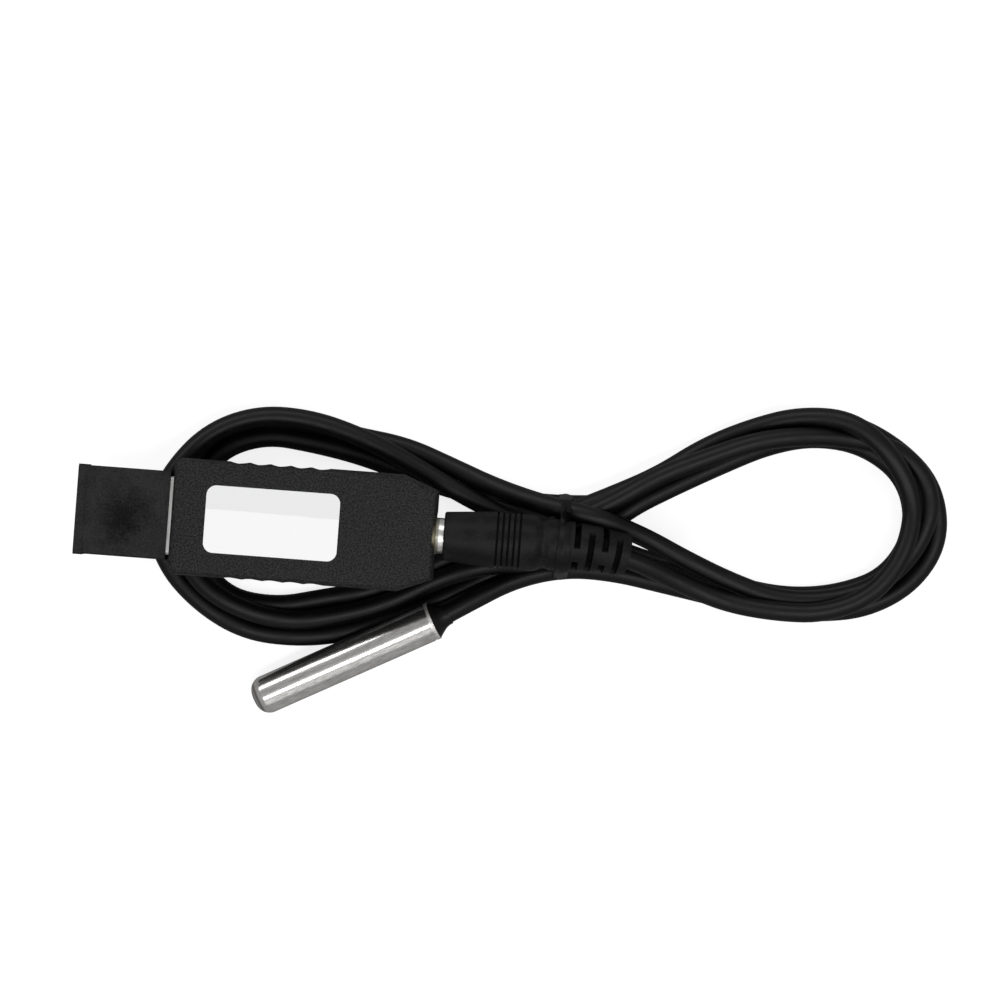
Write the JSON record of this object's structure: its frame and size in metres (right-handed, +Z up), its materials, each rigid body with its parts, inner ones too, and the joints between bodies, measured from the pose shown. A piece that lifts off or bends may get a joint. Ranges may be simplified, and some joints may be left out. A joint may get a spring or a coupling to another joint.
{
  "type": "usb temperature sensor",
  "caption": "USB stick adapter with a pull-off cap and a blank label, a round plug in its far end, a cord tied in a figure of eight, and a steel temperature probe",
  "frame": {"origin": "on the table, under the middle of the box round the adapter, its cap and the probe; the cord, its plug and its tie are left out of that box", "axes": "+X runs along the adapter from the USB plug towards the cord, +Z is up from the table, and +Y completes the frame, away from the probe"},
  "size_m": [0.1333, 0.0538, 0.0165],
  "materials": {
    "cap": "smooth moulded black",
    "housing": "finely spark-eroded black",
    "label": "blank white, smooth",
    "nickel": "bright nickel plate",
    "black_plastic": "moulded black",
    "contact_metal": "gold-flashed",
    "board": "green solder mask",
    "chip": "moulded black",
    "crystal_can": "pressed can",
    "chip_part": "fired body",
    "ring_metal": "dull, tarnished",
    "plug_plastic": "moulded black",
    "cord_jacket": "satin black",
    "tie": "thin black ribbon round a wire",
    "probe_steel": "polished stainless",
    "filling": "cast resin"
  },
  "bodies": {
    "adapter": {"usb_shell": "nickel", "usb_tongue": "black_plastic", "usb_contacts": "contact_metal", "housing_top": "housing", "housing_bottom": "housing", "label": "label", "circuit_board": "board", "converter_chip": "chip", "crystal": "crystal_can", "chip_parts": "chip_part", "socket_body": "black_plastic", "socket_ring": "ring_metal", "socket_pin": "nickel", "socket_spring": "nickel"},
    "cap": {"cap": "cap"},
    "lead": {"plug_barrel": "nickel", "plug_insulator": "plug_plastic", "plug_inner_sleeve": "nickel", "plug_grip": "cord_jacket", "cord_exit": "cord_jacket", "cord_bridge": "cord_jacket", "cord_to_probe": "cord_jacket", "cord_hank": "cord_jacket", "cable_tie": "tie", "probe_tube": "probe_steel", "sensor_chip": "chip", "sensor_leads": "crystal_can", "probe_filling": "filling", "probe_boot": "cord_jacket"}
  },
  "joints": [
    {"name": "cap_pull", "type": "slide", "parent": "adapter", "child": "cap", "axis": [-1, 0, 0], "range_m": [0, 0.015]},
    {"name": "plug_pull", "type": "slide", "parent": "adapter", "child": "lead", "axis": [1, 0, 0], "range_m": [0, 0.011]}
  ]
}
